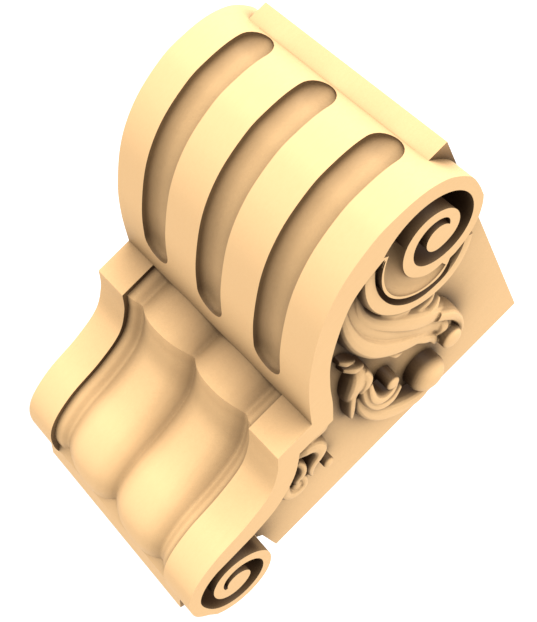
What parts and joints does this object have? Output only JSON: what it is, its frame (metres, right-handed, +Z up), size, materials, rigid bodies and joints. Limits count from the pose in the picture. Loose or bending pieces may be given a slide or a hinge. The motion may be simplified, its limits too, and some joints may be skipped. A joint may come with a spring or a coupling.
{
  "type": "decorative corbel",
  "caption": "Carved hardwood scroll corbel with side volutes, fluted front, lobed foot and acanthus relief on its side panels.",
  "frame": {"origin": "middle of the flat back face, which meets the wall", "axes": "+Y out of the back face into the wall, the scroll's front faces -Y, +Z up to the flat top, +X to the right seen from the front"},
  "size_m": [0.15, 0.1914, 0.2419],
  "materials": {
    "carved_wood": "sanded smooth, unfinished"
  },
  "bodies": {
    "root": {"corbel": "carved_wood"}
  },
  "joints": []
}
